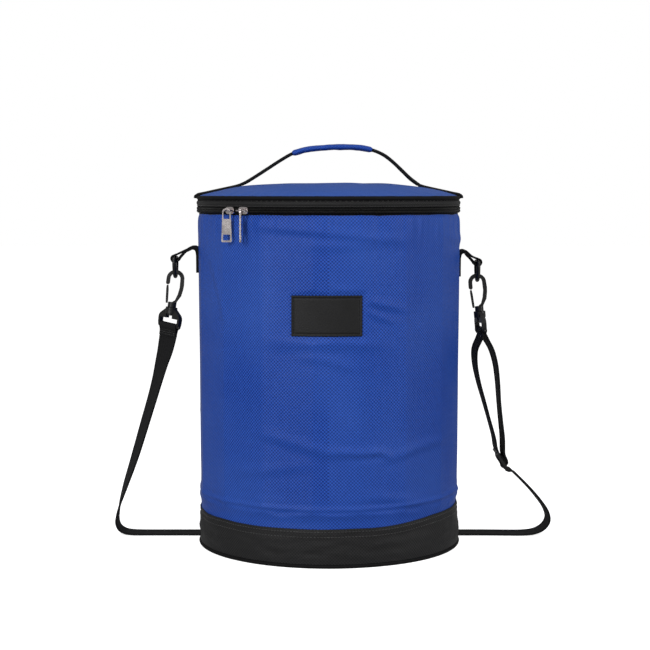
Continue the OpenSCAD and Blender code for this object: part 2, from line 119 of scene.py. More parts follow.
def gridPiece(name, rows, cols, place, uv, closed=False, capEnds=False):
    # rows run along the piece and cols run across it; closed joins the last col to the first
    points = [place(i / rows, j / cols) for i in range(rows + 1) for j in range(cols if closed else cols + 1)]
    width = cols if closed else cols + 1
    faces, uvs = [], []
    for i in range(rows):
        for j in range(cols):
            k = (j + 1) % width
            faces.append((i * width + j, i * width + k, (i + 1) * width + k, (i + 1) * width + j))
            uvs.append([uv(i / rows, j / cols), uv(i / rows, (j + 1) / cols),
                        uv((i + 1) / rows, (j + 1) / cols), uv((i + 1) / rows, j / cols)])
    if capEnds:
        for row, order in ((0, range(width - 1, -1, -1)), (rows, range(width))):
            faces.append([row * width + j for j in order])
            uvs.append([uv(row / rows, j / cols) for j in order])
    return meshPiece(name, points, faces, uvs)


def thicken(piece, depth):
    solid = piece.modifiers.new("thickness", "SOLIDIFY")
    solid.thickness = depth
    solid.offset = -1
    apply(piece)
    return piece


def apply(piece):
    for other in bpy.context.selected_objects:
        other.select_set(False)
    piece.select_set(True)
    bpy.context.view_layer.objects.active = piece
    for modifier in list(piece.modifiers):
        bpy.ops.object.modifier_apply(modifier=modifier.name)


def mirrorFaces(piece):
    piece.data.flip_normals()
    return piece


# Smooth curve through given rows
def splineRows(rows, step):
    size = len(rows[0])
    out = []
    for i in range(len(rows) - 1):
        p = [rows[max(i - 1, 0)], rows[i], rows[i + 1], rows[min(i + 2, len(rows) - 1)]]
        span = math.sqrt(sum((p[2][k] - p[1][k]) ** 2 for k in range(3)))
        count = max(1, round(span / step))
        for n in range(count):
            t = n / count
            out.append([0.5 * (2 * p[1][k] + (p[2][k] - p[0][k]) * t
                               + (2 * p[0][k] - 5 * p[1][k] + 4 * p[2][k] - p[3][k]) * t * t
                               + (3 * p[1][k] - p[0][k] - 3 * p[2][k] + p[3][k]) * t ** 3) for k in range(size)])
    out.append(list(rows[-1]))
    return out


def ribbonFrames(rows, step):
    fine = splineRows(rows, step)
    places = [Vector(r[:3]) for r in fine]
    frames, run = [], 0
    for i, p in enumerate(places):
        tangent = (places[min(i + 1, len(places) - 1)] - places[max(i - 1, 0)]).normalized()
        across = Vector(fine[i][3:6])
        across = (across - tangent * across.dot(tangent)).normalized()
        if i:
            run += (p - places[i - 1]).length
        frames.append((p, across, tangent.cross(across), run))
    return frames


def webbing(name, rows, width, thick, step=2.2 * mm):
    # woven strap: flat section with a soft raised selvedge on both sides
    frames = ribbonFrames(rows, step)
    half = width / 2
    face = [(0.97, 0.62), (0.9, 0.78), (0.82, 0.5), (0.4, 0.5), (0, 0.5), (-0.4, 0.5), (-0.82, 0.5), (-0.9, 0.78),
            (-0.97, 0.62)]
    profile = [(-x, -y) for x, y in face] + [(1, 0)] + face + [(-1, 0)]

    def frameAt(s):
        return frames[round(s * (len(frames) - 1))]

    def place(s, t):
        p, across, up, run = frameAt(s)
        a, b = profile[round(t * len(profile)) % len(profile)]
        return p + across * (a * half) + up * (b * thick)

    def uv(s, t):
        return frameAt(s)[3], profile[round(t * len(profile)) % len(profile)][0] * half

    return gridPiece(name, len(frames) - 1, len(profile), place, uv, closed=True, capEnds=True)


def closeTube(faces, first, rings, sides, flipped=False):
    # quads between rings of points, and a cap on each end
    for ring in range(rings - 1):
        a, b = first + ring * sides, first + (ring + 1) * sides
        for k in range(sides):
            m = (k + 1) % sides
            faces.append((a + m, a + k, b + k, b + m) if flipped else (a + k, a + m, b + m, b + k))
    start = [first + k for k in range(sides)]
    end = [first + (rings - 1) * sides + k for k in range(sides)]
    faces.extend([start, end[::-1]] if flipped else [start[::-1], end])


def stitches(name, places, length, radius, sides=5):
    # each place is (middle, direction, outward); a stitch is a short thread that dips at both ends
    sections = [(-0.5, -0.4, 0.5), (-0.3, 0.35, 1), (0.3, 0.35, 1), (0.5, -0.4, 0.5)]
    verts, faces = [], []
    for middle, along, up in places:
        side = along.cross(up).normalized()
        first = len(verts)
        for share, rise, fat in sections:
            centre = middle + along * (share * length) + up * (rise * radius)
            for k in range(sides):
                a, reach = turn * k / sides, radius * fat
                verts.append(centre + side * (math.cos(a) * reach) + up * (math.sin(a) * reach))
        closeTube(faces, first, len(sections), sides, flipped=True)
    return meshPiece(name, verts, faces)


# Node helpers
def linear(hexColour):
    channels = [int(hexColour[i:i + 2], 16) / 255 for i in (1, 3, 5)]
    return (*[c / 12.92 if c <= 0.04045 else ((c + 0.055) / 1.055) ** 2.4 for c in channels], 1.0)


def addNode(tree, kind, settings=None, links=None):
    made = tree.nodes.new(kind)
    for key, value in (settings or {}).items():
        if isinstance(key, int) or key in made.inputs:
            made.inputs[key].default_value = value
        else:
            setattr(made, key, value)
    for key, source in (links or {}).items():
        tree.links.new(source, made.inputs[key])
    return made


def newMaterial(name, settings):
    material = bpy.data.materials.new(name)
    material.use_nodes = True
    tree = material.node_tree
    surface = tree.nodes["Principled BSDF"]
    for key, value in settings.items():
        surface.inputs[key].default_value = value
    return material, tree, surface


def blendColours(tree, share, dark, light):
    return addNode(tree, "ShaderNodeMix", {"data_type": "RGBA", 6: dark, 7: light}, {0: share}).outputs[2]


def wave(tree, value, pitch):
    # cosine ridge from 0 to 1 that repeats every pitch metres
    scaled = addNode(tree, "ShaderNodeMath", {"operation": "MULTIPLY", 1: turn / pitch}, {0: value})
    ridge = addNode(tree, "ShaderNodeMath", {"operation": "COSINE"}, {0: scaled.outputs[0]})
    half = addNode(tree, "ShaderNodeMath", {"operation": "MULTIPLY_ADD", 1: 0.5, 2: 0.5}, {0: ridge.outputs[0]})
    return half.outputs[0]


def combine(tree, operation, a, b):
    inputs, links = {"operation": operation}, {}
    for slot, value in enumerate((a, b)):
        if isinstance(value, (int, float)):
            inputs[slot] = value
        else:
            links[slot] = value
    return addNode(tree, "ShaderNodeMath", inputs, links).outputs[0]


def times(tree, a, b):
    return combine(tree, "MULTIPLY", a, b)


def plus(tree, a, b):
    return combine(tree, "ADD", a, b)


def surfaceMetres(tree):
    uv = addNode(tree, "ShaderNodeUVMap", {"uv_map": "metres"})
    split = addNode(tree, "ShaderNodeSeparateXYZ", None, {0: uv.outputs[0]})
    return uv.outputs[0], split.outputs[0], split.outputs[1]


def objectMetres(tree):
    return addNode(tree, "ShaderNodeTexCoord").outputs["Object"]


def noiseAt(tree, vector, size, detail=3, rough=0.55):
    return addNode(tree, "ShaderNodeTexNoise", {"Scale": 1 / size, "Detail": detail, "Roughness": rough},
                   {"Vector": vector}).outputs[0]


def addBump(tree, surface, height, distance):
    bump = addNode(tree, "ShaderNodeBump", {"Strength": 1.0, "Distance": distance}, {"Height": height})
    tree.links.new(bump.outputs[0], surface.inputs["Normal"])


def paint(tree, surface, share, dark, light):
    colour = blendColours(tree, share, linear(dark), linear(light))
    tree.links.new(colour, surface.inputs["Base Color"])


def varyRoughness(tree, surface, share, low, high):
    rough = addNode(tree, "ShaderNodeMapRange", {3: low, 4: high}, {0: share})
    tree.links.new(rough.outputs[0], surface.inputs["Roughness"])


# Materials
# Woven polyester, dyed: twill threads run on the diagonal and give a soft satin light; its broad lighter patches
# are painted sheen.
# The real thread is about 0.4 mm; the wall's is drawn at 3.4 mm so that the weave shows from a distance.
def wovenPolyester(name, dark, mid, light, threadPitch, roughness, gloss, depth, paintedSheen):
    material, tree, surface = newMaterial(name, {"Roughness": roughness, "Specular IOR Level": gloss})
    vector, u, v = surfaceMetres(tree)
    rising = plus(tree, u, v)
    falling = combine(tree, "SUBTRACT", u, v)
    twill = wave(tree, rising, threadPitch)
    crossThread = wave(tree, falling, threadPitch)
    weave = times(tree, plus(tree, twill, crossThread), 0.5)
    finePitch = threadPitch * 0.42
    fine = times(tree, wave(tree, u, finePitch), wave(tree, v, finePitch))
    mottled = noiseAt(tree, vector, 6 * mm, 4, 0.7)
    broad = noiseAt(tree, vector, 110 * mm, 2, 0.5)
    threads, dust = times(tree, weave, 0.85), times(tree, mottled, 0.22)
    share = plus(tree, threads, dust)
    # painted sheen: broad noise blends the colour towards the light one, standing in for the soft light bands on
    # satin
    sheenPatches = times(tree, combine(tree, "SUBTRACT", broad, 0.35), paintedSheen)
    base = blendColours(tree, share, linear(dark), linear(mid))
    withSheen = addNode(tree, "ShaderNodeMix", {"data_type": "RGBA", 7: linear(light)}, {0: sheenPatches, 6: base})
    tree.links.new(withSheen.outputs[2], surface.inputs["Base Color"])
    height = plus(tree, weave, times(tree, fine, 0.5))
    addBump(tree, surface, height, depth)
    return material


# Polypropylene webbing: cross ribs from the weft, a smooth selvedge, a dull black.
def ribbedWebbing(name, dark, light, ribPitch, depth):
    material, tree, surface = newMaterial(name, {"Roughness": 0.7, "Specular IOR Level": 0.12})
    vector, u, v = surfaceMetres(tree)
    ribs = wave(tree, u, ribPitch)
    sway = times(tree, wave(tree, v, ribPitch * 2.4), ribPitch * 0.5)
    offset = plus(tree, u, sway)
    chevron = wave(tree, offset, ribPitch)
    grain = noiseAt(tree, vector, 1.2 * mm, 2, 0.6)
    woven, speckled = times(tree, chevron, 0.6), times(tree, grain, 0.4)
    share = plus(tree, woven, speckled)
    paint(tree, surface, share, dark, light)
    height = plus(tree, times(tree, ribs, 0.5), chevron)
    addBump(tree, surface, height, depth)
    return material


# Bias binding over a cord: a fine diagonal rib, slightly shiny where it is stretched.
def stretchedBinding(name, dark, light):
    material, tree, surface = newMaterial(name, {"Roughness": 0.65, "Specular IOR Level": 0.08})
    vector = objectMetres(tree)
    grain = noiseAt(tree, vector, 1.1 * mm, 3, 0.7)
    patch = noiseAt(tree, vector, 12 * mm, 2, 0.5)
    share = times(tree, plus(tree, grain, patch), 0.55)
    paint(tree, surface, share, dark, light)
    addBump(tree, surface, grain, 0.22 * mm)
    return material


# Nylon monofilament coil, extruded and heat set: smooth, semi-gloss black.
def extrudedNylon(name):
    material, tree, surface = newMaterial(name, {"Roughness": 0.4, "IOR": 1.53, "Specular IOR Level": 0.14})
    speck = noiseAt(tree, objectMetres(tree), 0.8 * mm, 2, 0.5)
    paint(tree, surface, speck, "#040404", "#0D0D0D")
    addBump(tree, surface, speck, 0.05 * mm)
    return material


# Acetal, injection moulded: satin black with a faint flow texture.
def mouldedAcetal(name):
    material, tree, surface = newMaterial(name, {"Roughness": 0.36, "IOR": 1.48, "Specular IOR Level": 0.35})
    vector = objectMetres(tree)
    fine = noiseAt(tree, vector, 0.7 * mm, 3, 0.6)
    flow = noiseAt(tree, vector, 9 * mm, 2, 0.5)
    paint(tree, surface, flow, "#0A0A0A", "#191919")
    varyRoughness(tree, surface, flow, 0.3, 0.48)
    addBump(tree, surface, fine, 0.06 * mm)
    return material


# Zinc die casting, nickel plated: bright, faintly warm, small handling scratches.
def platedNickel(name):
    material, tree, surface = newMaterial(name, {"Metallic": 1.0, "Roughness": 0.24})
    vector = objectMetres(tree)
    cloud = noiseAt(tree, vector, 6 * mm, 3, 0.6)
    scratch = noiseAt(tree, vector, 0.6 * mm, 4, 0.8)
    paint(tree, surface, cloud, "#A79D9C", "#E8E1E0")
    varyRoughness(tree, surface, cloud, 0.2, 0.32)
    addBump(tree, surface, scratch, 0.012 * mm)
    return material


# Polyurethane leatherette, embossed: fine pebble grain with a low sheen.
def embossedLeatherette(name):
    material, tree, surface = newMaterial(name, {"Roughness": 0.55, "Specular IOR Level": 0.2})
    vector = surfaceMetres(tree)[0]
    pebble = addNode(tree, "ShaderNodeTexVoronoi", {"Scale": 1 / (1.1 * mm)}, {"Vector": vector}).outputs[0]
    cloud = noiseAt(tree, vector, 20 * mm, 3, 0.5)
    paint(tree, surface, cloud, "#111111", "#1A1A1B")
    addBump(tree, surface, pebble, 0.12 * mm)
    return material


# Metallised polyethylene film on foam: crinkled, silver, soft reflections.
def metallisedFilm(name):
    material, tree, surface = newMaterial(name, {"Metallic": 0.85, "Roughness": 0.38})
    vector = objectMetres(tree)
    crinkle = addNode(tree, "ShaderNodeTexVoronoi", {"Scale": 1 / (9 * mm), "feature": "DISTANCE_TO_EDGE"},
                      {"Vector": vector}).outputs[0]
    fine = noiseAt(tree, vector, 4 * mm, 4, 0.7)
    height = plus(tree, crinkle, times(tree, fine, 0.5))
    paint(tree, surface, fine, "#8C9095", "#CBCFD3")
    addBump(tree, surface, height, 1.2 * mm)
    return material


# Expanded polyethylene foam and pressed board: pale, matte, open grain. Both are sealed inside.
def mattePad(name, dark, light, grain):
    material, tree, surface = newMaterial(name, {"Roughness": 0.85})
    speck = noiseAt(tree, objectMetres(tree), grain, 3, 0.6)
    paint(tree, surface, speck, dark, light)
    addBump(tree, surface, speck, 0.3 * mm)
    return material


# Spun polyester sewing thread: twisted, slightly glossy.
def spunThread(name, dark, light):
    material, tree, surface = newMaterial(name, {"Roughness": 0.5, "Sheen Weight": 0.2})
    twist = noiseAt(tree, objectMetres(tree), 0.7 * mm, 2, 0.5)
    paint(tree, surface, twist, dark, light)
    return material


bluePolyester = wovenPolyester("blue polyester, woven", "#000D44", "#2A55B8", "#4468B8",
                               3.4 * mm, 0.42, 0.12, 0.22 * mm, 0.55)
lidPolyester = wovenPolyester("blue polyester, woven, lid", "#16347E", "#385EAA", "#4868AE",
                              3.0 * mm, 0.5, 0.1, 0.18 * mm, 0.4)
blackPolyester = wovenPolyester("black polyester, woven", "#020202", "#282829", "#2B2B2C",
                                3.2 * mm, 0.5, 0.16, 0.3 * mm, 0.3)
zipTapeCloth = wovenPolyester("polyester zip tape, woven", "#030303", "#0A0A0B", "#101011",
                              1.1 * mm, 0.65, 0.04, 0.2 * mm, 0.2)
webbingCloth = ribbedWebbing("polypropylene webbing, woven", "#0B0B0C", "#1E1E1F", 1.5 * mm, 0.35 * mm)
bindingCloth = stretchedBinding("bias binding, woven", "#080808", "#151516")
coilNylon = extrudedNylon("nylon coil, extruded")
acetal = mouldedAcetal("acetal, moulded")
nickel = platedNickel("zinc, nickel plated")
leatherette = embossedLeatherette("leatherette, embossed")
film = metallisedFilm("metallised film, crinkled")
foamWhite = mattePad("polyethylene foam, expanded", "#E4E4DF", "#F6F6F2", 2 * mm)
boardGrey = mattePad("fibreboard, pressed", "#6A6560", "#8A857F", 1.5 * mm)
threadBlack = spunThread("polyester thread, black", "#0C0C0D", "#19191A")
print("materials made")


# Shoulder strap; the rows repeat the route that the frame's strap follows, in millimetres
strapSettings = {"width": 25 * mm, "thick": 1.5 * mm}


def strapRows(rows):
    # from (x, y, z, width's x, width's y); the width lies level all the way
    return [[*row, 0] for row in rows]


leftRoute = strapRows([
    (-171.4, 0, 225, 0.77, -0.64), (-172.3, 0, 219.8, 0.77, -0.64),
    (-175, 0, 207, 0.7, -0.7), (-179, 1, 193, 0.6, -0.8),
    (-184, 2, 174, 0.5, -0.87), (-190, 3, 153, 0.45, -0.9), (-198, 5, 127, 0.42, -0.91),
    (-207, 8, 98, 0.38, -0.93), (-214, 11, 77, 0.32, -0.95), (-221, 14, 57, 0.24, -0.97),
    (-227, 18, 39, 0.12, -0.99), (-230.5, 22, 25, 0.04, -1), (-231.5, 25, 15, 0, -1),
    (-229, 27, 7.5, 0, -1), (-223, 28.5, 3, 0, -1), (-213, 29.5, 1.2, 0, -1),
    (-195, 30, 0.85, 0, -1), (-170, 30, 0.85, 0, -1), (-140, 30, 0.85, 0, -1),
    (-90, 30, 0.85, 0, -1), (-45, 30, 0.85, 0, -1), (-0.2, 30, 0.85, 0, -1)])
rightRoute = strapRows([
    (0.2, 30, 0.85, 0, -1), (45, 30, 0.85, 0, -1), (90, 30, 0.85, 0, -1), (140, 30, 0.85, 0, -1),
    (170, 30, 0.85, 0, -1), (195, 29, 0.85, 0, -1), (212, 28, 1.2, 0, -1),
    (225, 26.5, 3, 0.03, -1), (234, 25, 7.5, 0.05, -1), (239, 23.5, 14, 0.06, -1),
    (240, 22, 21, 0.08, -1), (237, 20, 30, 0.1, -1), (231, 18, 39, 0.1, -1),
    (223, 16, 49, 0.1, -1), (213, 13, 60, 0.1, -1), (203, 10.5, 70, 0.1, -1),
    (197.5, 9.5, 75, 0.1, -1), (194.2, 9.2, 74.9, 0.1, -1),
    (190.9, 9, 76, 0.1, -1), (189.3, 9, 78.9, 0.1, -1), (190.4, 9, 81.4, 0.08, -1),
    (192.2, 9, 84, 0.08, -1), (190.9, 9, 88.2, 0.08, -1), (188.9, 8.6, 93.4, 0.07, -1),
    (188.5, 8, 101, 0.07, -1), (188, 7, 112, 0.07, -1), (185.5, 5.5, 133, 0.05, -1),
    (183.5, 4, 152, 0.04, -1), (182, 3, 171, 0.06, -1), (179.5, 2, 190, 0.09, -1),
    (175, 1, 206, 0.13, -0.99), (168.8, 0, 217.5, 0.17, -0.98), (165.6, 0, 224, 0.17, -0.98)])
returnRoute = strapRows([
    (184.4, 9, 89.6, 0.06, -1), (182.4, 8.6, 95, 0.05, -1), (180.5, 8, 101, 0.05, -1),
    (178.5, 7, 112, 0.04, -1), (172.5, 5.5, 133, 0.03, -1), (167, 4, 152, 0.05, -1),
    (161.5, 3, 171, 0.07, -1), (157.5, 2, 190, 0.1, -0.99), (157, 1, 206, 0.14, -0.99),
    (161.2, 0, 217.5, 0.17, -0.98), (163.8, 0, 224, 0.17, -0.98)])


def inMetres(rows):
    return [[v * mm for v in r[:3]] + list(r[3:]) for r in rows]


def routeLength(rows):
    fine = splineRows(rows, 3 * mm)
    return sum(math.dist(a[:3], b[:3]) for a, b in zip(fine, fine[1:]))


def discUv(radius, side=-1):
    # cloth laid flat: the grid's share t runs outwards and a runs round
    return lambda t, a: (math.sin(a * turn) * radius * t, side * math.cos(a * turn) * radius * t)


def madePiece(piece, material, nodes=(), body=None, between=None):
    # one call finishes a piece: material, the body or pair of bodies it follows, and what it stands for
    piece.data.materials.clear()
    piece.data.materials.append(material)
    if between:
        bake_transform(piece)
    else:
        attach(piece, body or "root")
    if nodes:
        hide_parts(*nodes)
    return piece


def strapPiece(name, rows, between, nodes):
    piece = webbing(name, inMetres(rows), strapSettings["width"], strapSettings["thick"])
    return madePiece(piece, webbingCloth, nodes, None, between)


def strapCord(rows, exit):
    path = [Vector(r[:3]) for r in splineRows(inMetres(rows), 5 * mm)]
    routeLength(inMetres(rows))


leftBend = ("root", "clip_left", (-0.2, 0, 0.03), (-0.2, 0, 0.215))
rightBend = ("root", "clip_right", (0.18, 0, 0.1), (0.18, 0, 0.215))
strapLeft = strapPiece("strapLeft", leftRoute, leftBend, ("strap_left",))
strapRight = strapPiece("strapRight", rightRoute, rightBend, ("strap_right", "strap_double"))
strapReturn = strapPiece("strapReturn", returnRoute, rightBend, ("strap_double",))
strapCord(leftRoute, [v * mm for v in leftRoute[0][:3]])
strapCord(rightRoute, [v * mm for v in rightRoute[-1][:3]])
print("strap made")


# Wall: one blue panel, pinned under the zip and under the base band, settled as cloth
patchSettings = {"width": 71 * mm, "height": 41 * mm, "x": -2 * mm, "z": 253 * mm, "corner": 1.2 * mm}
wallSettings = {
    "around": 216, "up": 84, "frames": 24, "slack": 0.010, "former": 0.1358, "least": 0.1363,
    "most": 0.1369, "mostAboveBand": 4.5 * mm}


def wallRadius(z):
    stops = [(0.030, 136.5), (0.060, 136.4), (0.190, 136.6), (0.260, 137.2), (0.300, 137.7), (0.322, 138.6),
             (0.338, 139.4), (0.345, 139.2), (0.350, 138.0), (0.353, 137.0)]
    for (za, ra), (zb, rb) in zip(stops, stops[1:]):
        if z <= zb:
            t = smooth(z, za, zb)
            return (ra + (rb - ra) * t) * mm
    return stops[-1][1] * mm


# folds pressed into the panel while it was packed flat, as angles from the front in degrees
foldAngles = [-180, -150, -122, -96, -72, -50, -29, -6, 13, 34, 56, 80, 106, 134, 158, 180]
# soft creases: start angle and height, end angle and height, width and depth, in degrees and millimetres
creases = [
    (-30, 335, 26, 330, 5.5, 0.9), (-8, 323, 34, 321, 7, 0.55), (4, 279, 31, 255, 5, 1.0),
    (10, 268, 27, 243, 4, 0.6), (-26, 225, 22, 217, 8, 0.7), (-12, 208, 10, 199, 6, 0.5),
    (-30, 128, 6, 113, 7, 0.7), (2, 112, 20, 118, 5, 1.0), (18, 117, 26, 106, 4.5, 0.9),
    (25, 106, 60, 117, 6, 0.7), (-46, 92, -10, 98, 7, 0.5), (14, 66, 48, 60, 6, 0.6),
    (-62, 300, -48, 240, 6, 0.5), (40, 240, 58, 200, 7, 0.5), (95, 290, 120, 250, 6, 0.8),
    (130, 150, 165, 135, 7, 0.8), (-160, 260, -120, 280, 6, 0.8), (-130, 120, -95, 140, 7, 0.8),
    (165, 300, 195, 310, 6, 0.7), (60, 330, 100, 322, 6, 0.6)]


def wallFacet(angle):
    degrees = (math.degrees(angle) + 180) % 360 - 180
    for low, high in zip(foldAngles, foldAngles[1:]):
        if low <= degrees <= high:
            half = math.radians(high - low) / 2
            off = math.radians(degrees - (low + high) / 2)
            return bagRadius * (math.cos(half) / math.cos(off) - (1 + 2 * math.cos(half)) / 3)
    return 0


def creaseHeight(angle, z):
    # worked out in millimetres on the unrolled wall
    total, reach = 0, bagRadius / mm
    for a0, z0, a1, z1, width, depth in creases:
        du, dv = math.radians(a1 - a0) * reach, z1 - z0
        length = math.hypot(du, dv)
        u, v = angleGap(angle, math.radians(a0)) * reach, z / mm - z0
        t = (u * du + v * dv) / length ** 2
        if -0.25 < t < 1.25:
            across = (v * du - u * dv) / length - 3.2 * math.sin(t * 3 + a0)
            ends = smooth(t, -0.25, 0.3) * (1 - smooth(t, 0.7, 1.25))
            ridge = math.exp(-(across / width) ** 2) * (0.55 + across / width)
            total += 2.2 * depth * ends * ridge
    return total * mm


def wallDent(angle, z):
    # shallow sewing puckers under the rim, and the slack that gathers low down
    x, y = math.sin(angle), math.cos(angle)
    rim = smooth(z, 0.318, 0.342) * (1 - smooth(z, 0.3475, 0.353))
    pucker = roundNoise(angle, 38, z * 20) * 0.7 + roundNoise(angle, 17, z * 16) * 0.6
    low = 1 - smooth(z, 0.05, 0.14)
    fold = noise.noise((x * 4.2, y * 4.2, z * 34 + x * 3)) * 0.8
    broad = noise.noise((x * 3.1 + 7, y * 3.1, z * 3.2)) * 0.6
    pressed = wallFacet(angle) * 0.6 + 0.3 * mm * smooth(z, 0.05, 0.16)
    return (pucker * rim * 1.1 + fold * low * 0.7 + broad * 0.5) * mm + pressed + creaseHeight(angle, z)


def settleCloth(piece, low, high, s):
    former = gridPiece("former", 60, 96, lambda t, a: polar(a * turn, s["former"], 0.02 + 0.345 * t),
                       lambda t, a: (a, t), closed=True)
    former.modifiers.new("collision", "COLLISION")
    former.collision.thickness_outer = 0.4 * mm
    pins = piece.vertex_groups.new(name="pins")
    for vertex in piece.data.vertices:
        z = vertex.co.z
        hold = max(1 - smooth(z, low + 0.006, low + 0.022), smooth(z, high - 0.014, high - 0.003))
        pins.add([vertex.index], hold, "REPLACE")
    cloth = piece.modifiers.new("cloth", "CLOTH")
    c = cloth.settings
    c.quality = 5
    c.mass = 0.25
    c.tension_stiffness, c.compression_stiffness = 22, 22
    c.shear_stiffness, c.bending_stiffness = 9, 1.0
    c.tension_damping, c.bending_damping, c.air_damping = 12, 1.2, 4
    c.shrink_min, c.shrink_max = -s["slack"], -s["slack"]
    c.vertex_group_mass = "pins"
    c.pin_stiffness = 1.0
    cloth.collision_settings.distance_min = 0.4 * mm
    cloth.collision_settings.collision_quality = 2
    cloth.point_cache.frame_end = s["frames"]
    for step in range(1, s["frames"] + 1):
        bpy.context.scene.frame_set(step)
    settled = piece.evaluated_get(bpy.context.evaluated_depsgraph_get())
    places = [v.co.copy() for v in settled.data.vertices]
    piece.modifiers.clear()
    piece.vertex_groups.clear()
    bpy.context.scene.frame_set(1)
    for vertex, p in zip(piece.data.vertices, places):
        vertex.co = p
    bpy.data.objects.remove(former)


def makeWall(s):
    low, high = wallLow.z, seamZ

    def place(t, a):
        z = low + (high - low) * t
        return polar(a * turn, max(wallRadius(z), s["least"]), z)

    piece = gridPiece("bagWall", s["up"], s["around"], place,
                      lambda t, a: (a * turn * bagRadius, low + (high - low) * t), closed=True)
    settleCloth(piece, low, high, s)
    soften = piece.modifiers.new("soften", "SUBSURF")
    soften.levels = 1
    apply(piece)
    for vertex in piece.data.vertices:
        p = vertex.co
        angle, reach = math.atan2(p.x, -p.y), math.hypot(p.x, p.y)
        free = smooth(p.z, low, low + 0.03) * (1 - smooth(p.z, high - 0.004, high))
        beside = max(abs(p.x - patchSettings["x"]) - 33 * mm, abs(p.z - patchSettings["z"]) - 18 * mm)
        underPatch = 1 - smooth(beside, 0, 14 * mm) if p.y < 0 else 0
        rise = s["mostAboveBand"] * smooth(p.z, 0.044, 0.065)
        most = s["most"] + rise * (1 - underPatch) + 0.3 * mm * underPatch
        vertex.co = polar(angle, min(max(reach + wallDent(angle, p.z) * free, s["least"]), most), p.z)
    return piece


bagWall = madePiece(makeWall(wallSettings), bluePolyester, ("outer_panel",), "root")
print("wall made")


# Base band, with a folded upper edge that rises on the right side
bandSettings = {
    "around": 288, "radius": 138.0 * mm, "least": 136.9 * mm, "top": 39.2 * mm, "rise": 5.2 * mm,
    "foot": 4.2 * mm}


def bandTop(angle, s=bandSettings):
    side = smooth(math.sin(angle), 0.25, 0.95)
    return s["top"] + s["rise"] * side + roundNoise(angle, 3, 5) * 0.7 * mm


def bandRadius(angle, t, s=bandSettings):
    bulge = math.sin(math.pi * min(t * 1.1, 1)) * 0.5 * mm
    x, y = math.sin(angle), math.cos(angle)
    dent = noise.noise((x * 5 + t * 2, y * 5, t * 5)) * 0.9 * mm
    dent += noise.noise((x * 11 - t * 3, y * 11, t * 8 + 4)) * 0.5 * mm
    flare = 1.9 * mm * smooth(math.sin(angle), 0.2, 1) * (1 - smooth(t, 0.1, 1))
    return s["radius"] + bulge + flare + dent * smooth(t, 0, 0.2)


def makeBand(s):
    # (share of the height, millimetres inwards): up the face, then over the folded edge
    rows = [(t / 16, 0) for t in range(17)]
    rows += [(1.012, -0.25), (1.016, -0.6), (1.008, -0.95), (0.99, -1.1), (0.93, -1.15)]

    def place(t, a):
        share, back = rows[round(t * (len(rows) - 1))]
        angle = a * turn
        z = s["foot"] + (bandTop(angle) - s["foot"]) * share
        return polar(angle, max(bandRadius(angle, min(share, 1)) + back * mm, s["least"]), z)

    return gridPiece("baseBand", len(rows) - 1, s["around"], place,
                     lambda t, a: (a * turn * s["radius"], t * 0.045), closed=True)


madePiece(makeBand(bandSettings), blackPolyester, ("base_band",), "root")


def stitchRun(name, count, place, length, radius, body="root"):
    made = []
    for i in range(count):
        p, up = place(i / count)
        q = place((i + 0.05) / count)[0]
        made.append((p, (q - p).normalized(), up))
    return madePiece(stitches(name, made, length, radius), threadBlack, (), body)


def ringStitch(radiusAt, zAt):
    def place(t):
        angle = t * turn
        return polar(angle, radiusAt(angle), zAt(angle)), polar(angle, 1, 0)
    return place


for index, below in enumerate((2.2 * mm, 7.4 * mm)):
    stitchRun(f"bandStitch{index}", 250,
              ringStitch(lambda a, d=below: bandRadius(a, 1 - d / (35 * mm)) + 0.12 * mm,
                         lambda a, d=below: bandTop(a) - d),
              2.5 * mm, 0.3 * mm)


# Piping round the underside: bias binding over a cord, pressed flat where the strap passes
pipingSettings = {
    "radius": 137.45 * mm, "thick": 2.0 * mm, "flare": 1.6 * mm, "pressed": 0.49, "raised": 1.03 * mm}


def basePipePlace(t, k, s=pipingSettings):
    angle, a = t * turn, k * turn
    gap = abs(polar(angle, s["radius"], 0).y - strapY) - 12.5 * mm
    flat = 1 - smooth(gap, 0, 6 * mm)
    thick = s["thick"] * (1 - s["pressed"] * flat)
    lift = s["thick"] + s["raised"] * flat
    crimp = 1 + 0.035 * math.sin(angle * 330) + 0.03 * roundNoise(angle, 20, 0)
    middle = s["radius"] + s["flare"] * smooth(math.sin(angle), 0.2, 1)
    return polar(angle, middle + math.cos(a) * s["thick"] * crimp, lift + math.sin(a) * thick)


basePiping = gridPiece("basePiping", 620, 14, basePipePlace, lambda t, k: (t * 0.863, k * 0.0126), closed=True)
madePiece(basePiping, bindingCloth, ("base_piping",), "root")


# Underside panel with a groove that the strap lies in
undersideSettings = {"radius": 135.4 * mm, "lift": 0.25 * mm, "groove": 1.75 * mm, "thick": 1.0 * mm}


def undersidePlace(t, a, s=undersideSettings):
    p = polar(a * turn, s["radius"] * max(t, 0.004), 0)
    groove = 1 - smooth(abs(p.y - strapY), 12.9 * mm, 14.5 * mm)
    p.z = s["lift"] + s["groove"] * groove + 0.12 * mm * noise.noise((p.x * 40, p.y * 40, 0))
    return p


underside = mirrorFaces(gridPiece("underside", 90, 180, undersidePlace, discUv(undersideSettings["radius"]),
                                  closed=True))
thicken(underside, undersideSettings["thick"])
madePiece(underside, blackPolyester, ("bottom_panel",), "root")
print("base made")


# Liner: crinkled film on the wall and floor, with a welded fillet between them
def linerCrinkle(p):
    a = noise.noise(p * 45) * 0.55 + abs(noise.noise(p * 110)) * 0.5 + noise.noise(p * 16) * 0.5
    return a * 0.5 * mm


# the share of the way runs down the wall to wallEnd, round the fillet to filletEnd, then over the floor
linerSettings = {
    "radius": 129.3 * mm, "top": 349.5 * mm, "floor": 14.55 * mm, "fillet": 5 * mm,
    "wallEnd": 0.62, "filletEnd": 0.70}


